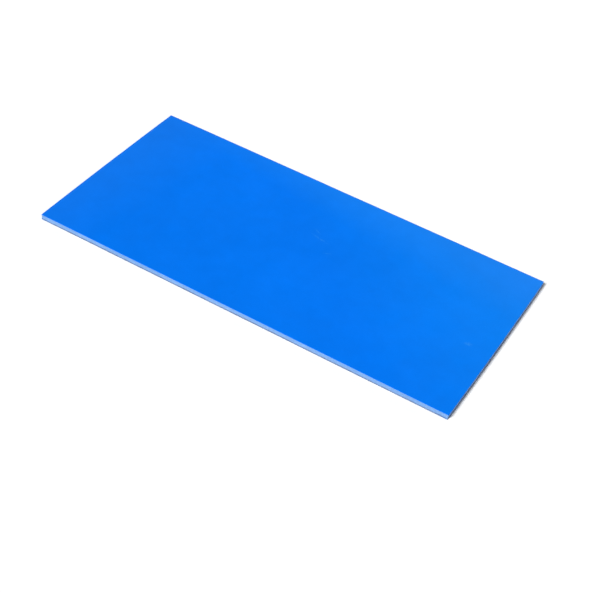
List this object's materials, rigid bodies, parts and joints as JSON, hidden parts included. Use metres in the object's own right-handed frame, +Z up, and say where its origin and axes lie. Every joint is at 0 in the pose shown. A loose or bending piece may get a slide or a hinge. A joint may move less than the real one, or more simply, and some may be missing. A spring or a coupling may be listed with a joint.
{
  "type": "thermal pad sheet",
  "caption": "Rectangular sheet of soft periwinkle-blue thermal silicone with a saturated blue release film over its face, cut flush at all edges.",
  "frame": {"origin": "centre of the pad's underside", "axes": "+X along the length, +Y along the width, +Z up through the thickness and out of the release film"},
  "size_m": [0.4, 0.2, 0.0054],
  "materials": {
    "silicone": "matt, slightly tacky, filled with fine ceramic grain",
    "film": "smooth satin, translucent blue"
  },
  "bodies": {
    "root": {"silicone_pad": "silicone", "release_film": "film"}
  },
  "joints": []
}
